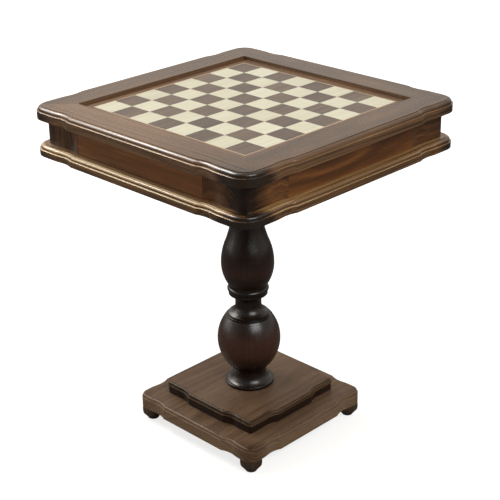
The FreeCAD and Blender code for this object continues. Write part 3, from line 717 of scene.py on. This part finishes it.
def bead(bm, face, width, height):
    now = (0.0, 0.0)
    for i in range(1, BEAD_STEPS + 1):
        turned = math.pi / 2 * i / BEAD_STEPS
        angle = math.atan2(height * math.sin(turned), width * math.cos(turned))
        goal = (width * (1 - math.cos(angle)), height * math.sin(angle))
        step(bm, face, goal[0] - now[0], goal[1] - now[1])
        now = goal


# %% Run an edge
def run_edge(bm, face, thick, cutter):
    """A fascia with an eased arris, a groove, a bead and a quirk, up to the flat."""
    c = CUTTERS[cutter]
    plain = thick - QUIRK - c["height"] - c["groove_height"] - c["soft"]
    face = rise(bm, face, plain, keep=True)
    step(bm, face, c["soft"], c["soft"])
    step(bm, face, c["groove"] - c["soft"])
    face = rise(bm, face, c["groove_height"])
    bead(bm, face, c["width"] - c["groove"], c["height"])
    return rise(bm, face, QUIRK)


# %% [markdown]
# ## Openings
# A flat face gets a hole by drawing the hole's loop in its plane and filling what lies
# between the loops. The hole's wall is then pulled out of its rim. A Boolean cuts holes
# too, but it may leave slivers.

# %% Pierce a face
HOLE_SIDES = 48


def square_loop(bm, half, z):
    pen = Pen(bm, (half, half, z), UP)
    pen.line((-half, half, z), (-half, -half, z), (half, -half, z), (half, half, z))


def round_loop(bm, radius, z, x=0.0, y=0.0):
    bmesh.ops.create_circle(bm, segments=HOLE_SIDES, radius=radius * MM,
                            matrix=Matrix.Translation(Vector((x, y, z)) * MM))


def pierce(bm, face, loops):
    """loops are functions that each draw one loop. Returns the edges of each loop."""
    rim = list(face.edges)
    bmesh.ops.delete(bm, geom=[face], context="FACES_ONLY")
    found = []
    for draw in loops:
        before = set(bm.edges)
        draw()
        drawn = [e for e in bm.edges if e not in before]
        bmesh.ops.remove_doubles(bm, verts=list({v for e in drawn for v in e.verts}),
                                 dist=WELD)
        found.append([e for e in bm.edges if e not in before])
    every = rim + [e for edges in found for e in edges]
    bmesh.ops.triangle_fill(bm, use_beauty=True, use_dissolve=False, edges=every)
    return found


def wall(bm, edges, height, scale=1.0):
    """Pulls a wall out of a hole's rim and returns its far rim."""
    pulled = bmesh.ops.extrude_edge_only(bm, edges=edges)["geom"]
    verts = [g for g in pulled if isinstance(g, bmesh.types.BMVert)]
    bmesh.ops.translate(bm, verts=verts, vec=(0, 0, height * MM))
    bmesh.ops.scale(bm, verts=verts, vec=(scale, scale, 1.0))
    inner = set(verts)
    return [g for g in pulled
            if isinstance(g, bmesh.types.BMEdge) and set(g.verts) <= inner]


# %% [markdown]
# ## Mitred frames
# The top and the moulding under the box are each four boards, mitred at the corners.
# The ring is run in one piece, then cut along its diagonals, and each cut is closed
# with a face. Every member so becomes a board of its own with its own grain.

# %% Cut the mitres
SIDES = {"back": 0, "left": 1, "front": 2, "right": 3}


def cut(bm, normal, point=(0, 0, 0)):
    """Removes what lies on the normal's side of a plane, and closes the cut."""
    geom = bm.verts[:] + bm.edges[:] + bm.faces[:]
    bmesh.ops.bisect_plane(bm, geom=geom, dist=WELD, plane_co=Vector(point) * MM,
                           plane_no=normal, clear_outer=True)
    open_edges = [e for e in bm.edges if e.is_boundary]
    bmesh.ops.holes_fill(bm, edges=open_edges, sides=0)


def mitred_members(ring, name, material):
    for side, quarters in SIDES.items():
        bm = ring.copy()
        turned = Matrix.Rotation(quarters * math.pi / 2, 3, "Z")
        for normal in ((1, -1, 0), (-1, -1, 0)):
            cut(bm, turned @ Vector(normal))
        finish_piece(bm, f"moulded_{name}_{side}", material, f"{name}_{side}")
    ring.free()


# %% [markdown]
# ## The top frame
# From below: a plain fascia, a groove, a thumbnail bead and a fine quirk up to the flat.
# The opening holds the board, with a lip over its edge.

# %% Top frame
RECESS_HALF, RECESS_DEPTH, LIP = 222.0, 7.0, 10.0

bm = bmesh.new()
under = draw_plan(bm, "top", TOP_LOW)
face = run_edge(bm, under, TOP_HIGH - TOP_LOW, "top")
lip, = pierce(bm, face, [lambda: square_loop(bm, RECESS_HALF, TOP_HIGH)])
lip = wall(bm, lip, -RECESS_DEPTH)
wall(bm, lip, 0.0, (RECESS_HALF + LIP) / RECESS_HALF)
rebate, = pierce(bm, under, [lambda: square_loop(bm, RECESS_HALF + LIP, TOP_LOW)])
wall(bm, rebate, TOP_HIGH - TOP_LOW - RECESS_DEPTH)
bmesh.ops.remove_doubles(bm, verts=bm.verts, dist=WELD)
mitred_members(bm, "top_frame", TOP_WALNUT)

# %% [markdown]
# ## The moulding under the box
# The same cutter runs along the frame that carries the box. Its inner edge has a rebate
# on top, where the bottom board lies.

# %% Lower moulding
MOULD_INNER, BOTTOM_REBATE = 230.5, 10.0

bm = bmesh.new()
under = draw_plan(bm, "top", MOULD_LOW)
face = run_edge(bm, under, MOULD_HIGH - MOULD_LOW, "top")
seat, = pierce(bm, face, [lambda: square_loop(bm, MOULD_INNER + BOTTOM_REBATE,
                                              MOULD_HIGH)])
seat = wall(bm, seat, BOTTOM_LOW - MOULD_HIGH)
wall(bm, seat, 0.0, MOULD_INNER / (MOULD_INNER + BOTTOM_REBATE))
inner, = pierce(bm, under, [lambda: square_loop(bm, MOULD_INNER, MOULD_LOW)])
wall(bm, inner, BOTTOM_LOW - MOULD_LOW)
bmesh.ops.remove_doubles(bm, verts=bm.verts, dist=WELD)
mitred_members(bm, "moulding", MOULDING_WALNUT)

# %% [markdown]
# ## The corners of the box
# At each corner stands a thick block, shaped to the same plan 20 mm further in. It is
# cut from the whole plan with two planes. Its upright edges are eased, so that the
# joint with the apron shows as a fine line.

# %% Corner blocks
BOX_LOW, BOX_HIGH = MOULD_HIGH, TOP_LOW
ARRIS = PLANS["box"]["half"] - PLANS["box"]["shoulder"]
SQUARE_EDGE, UPRIGHT = math.radians(60), 10 * MM
CORNERS = {"back_right": 0, "back_left": 1, "front_left": 2, "front_right": 3}

plan = bmesh.new()
rise(plan, draw_plan(plan, "box", BOX_LOW), BOX_HIGH - BOX_LOW, keep=True)
for corner, quarters in CORNERS.items():
    bm = plan.copy()
    turned = Matrix.Rotation(quarters * math.pi / 2, 3, "Z")
    for normal in ((-1, 0, 0), (0, -1, 0)):
        cut(bm, turned @ Vector(normal), turned @ (Vector(normal) * -ARRIS))
    joint = [e for e in bm.edges if e.calc_face_angle(0.0) > SQUARE_EDGE
             and abs(e.verts[0].co.z - e.verts[1].co.z) > UPRIGHT]
    ease(bm, joint, 0.5)
    finish_piece(bm, f"shaped_corner_block_{corner}", CORNER_WALNUT,
                 f"corner_block_{corner}")
plan.free()

# %% [markdown]
# ## Boards with eased edges
# The flat boards keep the frame's shape. A copy is welded, its flat sides become single
# faces again, and every sharp edge gets a small round, which is what catches the light
# on real joinery.

# %% Eased boards
FLAT, SHARP = math.radians(0.5), math.radians(40)


def eased_board(node, material, radius=0.5, body="table"):
    bm = bmesh.new()
    bm.from_mesh(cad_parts[node].data)
    bmesh.ops.remove_doubles(bm, verts=bm.verts, dist=WELD)
    bmesh.ops.dissolve_limit(bm, angle_limit=FLAT, verts=bm.verts, edges=bm.edges)
    ease(bm, [e for e in bm.edges if e.calc_face_angle(0.0) > SHARP], radius)
    finish_piece(bm, "eased_" + node, material, node, body)


for side in ("left", "right"):
    eased_board(f"side_apron_{side}", APRON_WALNUT)
eased_board("bottom_board", DRAWER_WOOD, 0.4)
eased_board("mounting_block", PLINTH_WALNUT, 0.8)
for end in ("front", "back"):
    body = f"{end}_drawer"
    eased_board(f"{body}_face", APRON_WALNUT, 0.5, body)
    for hand in ("left", "right"):
        eased_board(f"{body}_side_{hand}", SIDE_WOOD, 0.6, body)
    for board in ("bottom", "rear"):
        eased_board(f"{body}_{board}", DRAWER_WOOD, 0.4, body)

# %% [markdown]
# ## Off the lathe
# A turned piece is half its section, drawn upright with the pen and spun about the
# axis. Each swell or hollow is one arc that stands upright at its widest or narrowest
# place, so that place and the arc's other end give its centre. A Screw modifier spins a
# section too, but the operator leaves a finished mesh.

# %% Lathe
TURNS = 96
DEGREES_A_STEP = 5
# Two points as near as this, in millimetres, are one.
SAME_PLACE = 0.01
ACROSS = (0, 1, 0)


class Profile(Pen):
    """A pen for half sections. Points are (radius, height) above the piece's foot."""

    def __init__(self, bm, foot, radius, height):
        self.foot = foot
        super().__init__(bm, (radius, 0, foot + height), ACROSS)

    def to(self, *points):
        return self.line(*((r, 0, self.foot + z) for r, z in points))

    def swell(self, widest, end):
        (r0, z0), (r1, z1) = widest, end
        radius = ((r0 - r1) ** 2 + (z1 - z0) ** 2) / (2 * abs(r0 - r1))
        hub = r0 - radius if r1 < r0 else r0 + radius
        here = Vector(self.tip.co) / MM
        at_end = abs(here.x - r1) + abs(here.z - self.foot - z1) < SAME_PLACE
        r, z = widest if at_end else end
        sweep = math.atan2(abs(z1 - z0), radius - abs(r0 - r1))
        steps = max(3, math.ceil(math.degrees(sweep) / DEGREES_A_STEP))
        return self.arc((hub, 0, self.foot + z0), (r, 0, self.foot + z), steps)


def turn_round(bm, x=0.0, y=0.0):
    bmesh.ops.spin(bm, geom=bm.verts[:] + bm.edges[:], cent=(0, 0, 0), axis=UP,
                   angle=math.tau, steps=TURNS, use_merge=True)
    bmesh.ops.translate(bm, verts=bm.verts, vec=(x * MM, y * MM, 0))


# %% [markdown]
# ## The ball
# The lower turning: a disc on the plinth, a deep hollow, the ball, and a thin rim. A
# turner makes a long column in two pieces and hides the joint at a rim. This one has
# the socket, and the vase has the spigot.

# %% Column, lower piece
BORE, JOINT = 6.5, 155.5
SPIGOT, SPIGOT_LONG = 16.0, 14.0
SOCKET, SOCKET_DEEP = SPIGOT + 0.3, SPIGOT_LONG + 0.3

bm = bmesh.new()
pen = Profile(bm, UPPER_HIGH, BORE, 0.0)
pen.to((49.4, 0), (50, 0.6), (50, 6.7), (49.2, 7.5), (45, 7.5))
pen.swell((34.4, 26), (45, 7.5)).swell((34.4, 26), (41, 42))
pen.swell((64.3, 101), (41, 42)).swell((64.3, 101), (46.5, 153))
pen.to((44, 153), (44, JOINT - 0.4), (43.6, JOINT))
pen.to((SOCKET, JOINT), (SOCKET, JOINT - SOCKET_DEEP), (BORE, JOINT - SOCKET_DEEP),
       (BORE, 0))
turn_round(bm)
finish_piece(bm, "turned_ball", TURNED_WALNUT, "column_ball")

# %% [markdown]
# ## The vase
# The upper turning: a collar, a slim neck, a step and a ring, the belly of the vase, its
# long stem, a small bead under the cap, and the cap that meets the block.

# %% Column, upper piece
bm = bmesh.new()
pen = Profile(bm, UPPER_HIGH, BORE, JOINT - SPIGOT_LONG)
pen.to((SPIGOT, JOINT - SPIGOT_LONG), (SPIGOT, JOINT), (41, JOINT), (41, 159))
pen.swell((26.5, 179), (41, 159)).to((26.5, 185)).swell((26.5, 185), (35.5, 201.5))
pen.to((39.4, 201.5), (39.4, 208))
pen.swell((42, 213), (39.4, 208)).swell((42, 213), (39.4, 218))
pen.to((39.4, 223))
pen.swell((53.4, 269), (39.4, 223)).swell((53.4, 269), (42, 321))
pen.swell((28.5, 399), (42, 321))
pen.to((28.5, 404), (29.5, 404))
pen.swell((33.5, 409), (29.5, 404)).swell((33.5, 409), (29.5, 414))
pen.to((29.5, 416.5)).swell((29.5, 416.5), (46, 469.2))
pen.to((49.4, 469.2), (50, 469.8), (50, 493.2), (BORE, 493.2),
       (BORE, JOINT - SPIGOT_LONG))
turn_round(bm)
finish_piece(bm, "turned_vase", TURNED_WALNUT, "column_vase")

# %% [markdown]
# ## Feet
# A foot is a short drum, hardly swelled, whose lower half is turned away to a small
# toe. Each has a tenon that goes up into the plinth. All four are spun from one section
# on the axis and moved out to their corners.

# %% Feet
FOOT_AT = 144.0
FEET = {"front_left": (-1, -1), "front_right": (1, -1), "back_left": (-1, 1),
        "back_right": (1, 1)}

for foot, (side_x, side_y) in FEET.items():
    bm = bmesh.new()
    pen = Profile(bm, 0.0, 0.0, 0.0)
    pen.to((11, 0), (12, 2), (20.8, 13), (21.2, 13.5))
    pen.swell((21.8, 19.5), (21.2, 13.5)).swell((21.8, 19.5), (21, 28))
    pen.to((21, 29), (8, 29), (8, 46.4), (7.4, 47), (0, 47))
    turn_round(bm, side_x * FOOT_AT, side_y * FOOT_AT)
    finish_piece(bm, f"turned_foot_{foot}", FOOT_WALNUT, f"foot_{foot}")

# %% [markdown]
# ## The plinths
# Two moulded slabs carry the column. The upper one has a plain band set back under its
# edge, made near black with painted shade, which makes a dark line above the lower one.
# It is one piece with two stains.
# The lower slab is bored from below for the tie rod's nut and for the feet's tenons.

# %% Upper plinth
BAND_TOP, BAND_SETBACK = LOWER_HIGH + 17.0, 2.5

bm = bmesh.new()
band = draw_plan(bm, "upper", LOWER_HIGH, BAND_SETBACK)
rise(bm, band, BAND_TOP - LOWER_HIGH, keep=True)
slab = bmesh.new()
run_edge(slab, draw_plan(slab, "upper", BAND_TOP), UPPER_HIGH - BAND_TOP, "upper")
joined = bpy.data.meshes.new("slab")
slab.to_mesh(joined)
slab.free()
bm.from_mesh(joined)
bpy.data.meshes.remove(joined)
upper = finish_piece(bm, "moulded_upper_plinth", PLINTH_WALNUT, "upper_plinth")
# The band's material is near black with painted shade.
upper.data.materials.append(SHADED_BAND_WALNUT)
for face in upper.data.polygons:
    if face.center.z < (BAND_TOP - 0.1) * MM:
        face.material_index = 1

# %% Lower plinth
NUT_BORE, NUT_DEEP = 16.0, 15.0
TENON_BORE, TENON_DEEP = 8.2, 18.2

bm = bmesh.new()
under = draw_plan(bm, "lower", LOWER_LOW)
run_edge(bm, under, LOWER_HIGH - LOWER_LOW, "lower")
holes = [lambda: round_loop(bm, NUT_BORE, LOWER_LOW)]
for x, y in FEET.values():
    holes.append(lambda x=x * FOOT_AT, y=y * FOOT_AT:
                 round_loop(bm, TENON_BORE, LOWER_LOW, x, y))
rims = pierce(bm, under, holes)
for rim in rims:
    depth = NUT_DEEP if rim is rims[0] else TENON_DEEP
    bmesh.ops.contextual_create(bm, geom=wall(bm, rim, depth))
finish_piece(bm, "moulded_lower_plinth", PLINTH_WALNUT, "lower_plinth")

# %% [markdown]
# ## Everything else
# The rest of the frame's pieces are right as they are and only need their material: the
# veneers, the inside of the box, and the steel.

# %% Materials on the frame's own pieces
CARRIED = {
    MAPLE: ["light_squares"], DARK_LEAF: ["dark_squares"], BORDER: ["border_strips"],
    STRINGING: ["stringing"], STEEL: ["tie_rod", "rod_washers", "rod_nuts"],
    DRAWER_WOOD: ["board_core", "centre_rail"],
    SIDE_WOOD: ["drawer_guide_left", "drawer_guide_right", "drawer_kicker_left",
                "drawer_kicker_right"],
}
for material, nodes in CARRIED.items():
    for node in nodes:
        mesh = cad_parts[node].data
        if not mesh.materials:
            mesh.materials.append(material)
        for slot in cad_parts[node].material_slots:
            slot.material = material
print(sum(map(len, CARRIED.values())), "pieces of the frame keep their shape")

# %% [markdown]
# ## The studio's floor
# White paper under the table. It is lifted to plain white for the eye, more so further
# away, and keeps the soft shadow near the table. Stronger lamps would whiten it too, and
# wash out the wood. In the polish the floor is dimmer than it looks.

# %% Floor
FLOOR_RADIUS, FLOOR_SIDES = 14.0, 64
# Metres from the column, between which the lift grows to plain white.
NEAR, FAR = 0.4, 1.8

bm = bmesh.new()
bmesh.ops.create_circle(bm, cap_ends=True, segments=FLOOR_SIDES, radius=FLOOR_RADIUS)
floor_mesh = bpy.data.meshes.new("floor")
bm.to_mesh(floor_mesh)
bm.free()
floor = bpy.data.objects.new("floor", floor_mesh)
bpy.context.scene.collection.objects.link(floor)

paper, tree = blank_material("white_studio_paper")
ray = add(tree, "LightPath").outputs
seen = add(tree, "Math", ray["Is Camera Ray"], ray["Is Transmission Ray"],
           operation="MAXIMUM")
place = add(tree, "TexCoord").outputs["Object"]
away = add(tree, "VectorMath", place, operation="LENGTH").outputs["Value"]
lift = add(tree, "MapRange", away, NEAR, FAR, 0.74, 1.0)
lift = add(tree, "Math", seen, lift, operation="MULTIPLY")
shade = add(tree, "Mix", data_type="RGBA",
            inputs={0: ray["Is Glossy Ray"], 6: colour("#9e9c98"),
                    7: colour("#5c5b59")}).outputs[2]
lit = add(tree, "BsdfDiffuse", shade)
glow = add(tree, "Emission", colour("#ffffff"), lift)
add(tree, "OutputMaterial", add(tree, "AddShader", lit, glow))
floor_mesh.materials.append(paper)
print("floor", 2 * FLOOR_RADIUS, "metres across")

# %% [markdown]
# ## The studio's walls
# The surround is white to the eye from every side. Polished wood sees a room instead:
# white behind the table, darker on the front right, and one bright sheet overhead on
# the left, which draws the long highlight on every bead. A lamp would do that too, but
# it would also light the wood.

# %% Surround
ROOM_SIDE = (0.707, -0.707, 0.0)
# Where a ray to that side starts and ends to see less, and how much it sees there.
LIT_ROOM, POLISHED_ROOM = (0.05, 0.55, 0.85, 0.05), (0.25, 0.97, 0.78, 0.05)
SHEET_X, SHEET_Y, SHEET_STRENGTH = -0.66, -0.12, 8.5
# How far from its middle the sheet starts and ends to fade.
SHEET_FADES_X, SHEET_FADES_Y = (0.14, 0.28), (0.28, 0.40)

world = bpy.data.worlds.new("white_surround")
bpy.context.scene.world = world
world.use_nodes = True
tree = world.node_tree
tree.nodes.clear()
look = add(tree, "TexCoord").outputs["Generated"]
toward = add(tree, "VectorMath", look, ROOM_SIDE, operation="DOT_PRODUCT")
toward = toward.outputs["Value"]
ambient = add(tree, "MapRange", toward, *LIT_ROOM)
polished = add(tree, "MapRange", toward, *POLISHED_ROOM)

x, y, z = add(tree, "SeparateXYZ", look).outputs
off_x = add(tree, "Math", total(tree, x, -SHEET_X), operation="ABSOLUTE")
off_y = add(tree, "Math", total(tree, y, -SHEET_Y), operation="ABSOLUTE")
sheet = add(tree, "Math", add(tree, "MapRange", off_x, *SHEET_FADES_X, 1.0, 0.0),
            add(tree, "MapRange", off_y, *SHEET_FADES_Y, SHEET_STRENGTH, 0.0),
            operation="MULTIPLY")
overhead = add(tree, "Math", z, 0.0, operation="GREATER_THAN")
sheet = add(tree, "Math", sheet, overhead, operation="MULTIPLY")
polished = total(tree, polished, sheet)

ray = add(tree, "LightPath").outputs
plain = add(tree, "Math", ray["Is Camera Ray"], ray["Is Transmission Ray"],
            operation="MAXIMUM")
strength = add(tree, "Mix", inputs={0: ray["Is Glossy Ray"], 2: ambient, 3: polished})
strength = add(tree, "Mix", inputs={0: plain, 2: strength, 3: 1.0})
white = add(tree, "Mix", data_type="RGBA",
            inputs={0: plain, 6: colour("#fffbf4"), 7: colour("#ffffff")}).outputs[2]
add(tree, "OutputWorld", add(tree, "Background", white, strength))
print("surround of", len(tree.nodes), "nodes")

# %% [markdown]
# ## The lamps
# Large soft lamps give soft edges to the shadows. The two big ones light the top and the
# sides, and the two low ones the front faces. The fill isn't seen in the polish, where
# it would lay a grey veil.

# %% Lamps
def softbox(name, place, target, width, height, power):
    lamp = bpy.data.lights.new(name, "AREA")
    lamp.shape, lamp.size, lamp.size_y, lamp.energy = "RECTANGLE", width, height, power
    holder = bpy.data.objects.new(name, lamp)
    bpy.context.scene.collection.objects.link(holder)
    holder.location = place
    holder.rotation_mode = "QUATERNION"
    aim = Vector(target) - Vector(place)
    holder.rotation_quaternion = aim.to_track_quat("-Z", "Y")
    print(name, power, "watts")
    return holder


softbox("left_softbox", (-2.4, -0.5, 3.3), (0, 0, 0.6), 2.2, 0.8, 85)
softbox("right_softbox", (2.6, -0.5, 2.3), (0, 0, 0.3), 2.0, 1.5, 80)
softbox("low_left_softbox", (-2.0, -2.1, 1.0), (0, 0, 0.25), 0.8, 0.8, 5)
fill = softbox("fill_softbox", (-1.2, -2.6, 1.2), (0, 0, 0.25), 1.4, 1.4, 22)
fill.visible_glossy = False

# %% [markdown]
# ## Camera
# A 91 mm lens on a 36 mm sensor, two and a half metres away, that looks down by 24
# degrees and leans by one. Aiming it at a target would leave out the lean, so its axes
# are worked out from three angles.

# %% Camera
LENS, SENSOR, CAMERA_AT = 90.906, 36.0, (1.6192, -1.6122, 1.4016)
YAW, PITCH, ROLL = (math.radians(a) for a in (44.995, 24.108, -1.0151))
ahead = Vector((-math.sin(YAW) * math.cos(PITCH), math.cos(YAW) * math.cos(PITCH),
                -math.sin(PITCH)))
level_right = Vector((math.cos(YAW), math.sin(YAW), 0))
level_up = level_right.cross(ahead)
right = math.cos(ROLL) * level_right + math.sin(ROLL) * level_up
up = -math.sin(ROLL) * level_right + math.cos(ROLL) * level_up
axes = Matrix((right, up, -ahead)).transposed()

lens = bpy.data.cameras.new("camera")
lens.lens, lens.sensor_width = LENS, SENSOR
camera = bpy.data.objects.new("camera", lens)
bpy.context.scene.collection.objects.link(camera)
camera.matrix_world = Matrix.Translation(CAMERA_AT) @ axes.to_4x4()
bpy.context.scene.camera = camera
bpy.context.scene.view_settings.view_transform = "Standard"
print("camera at", tuple(round(c, 3) for c in camera.matrix_world.translation))
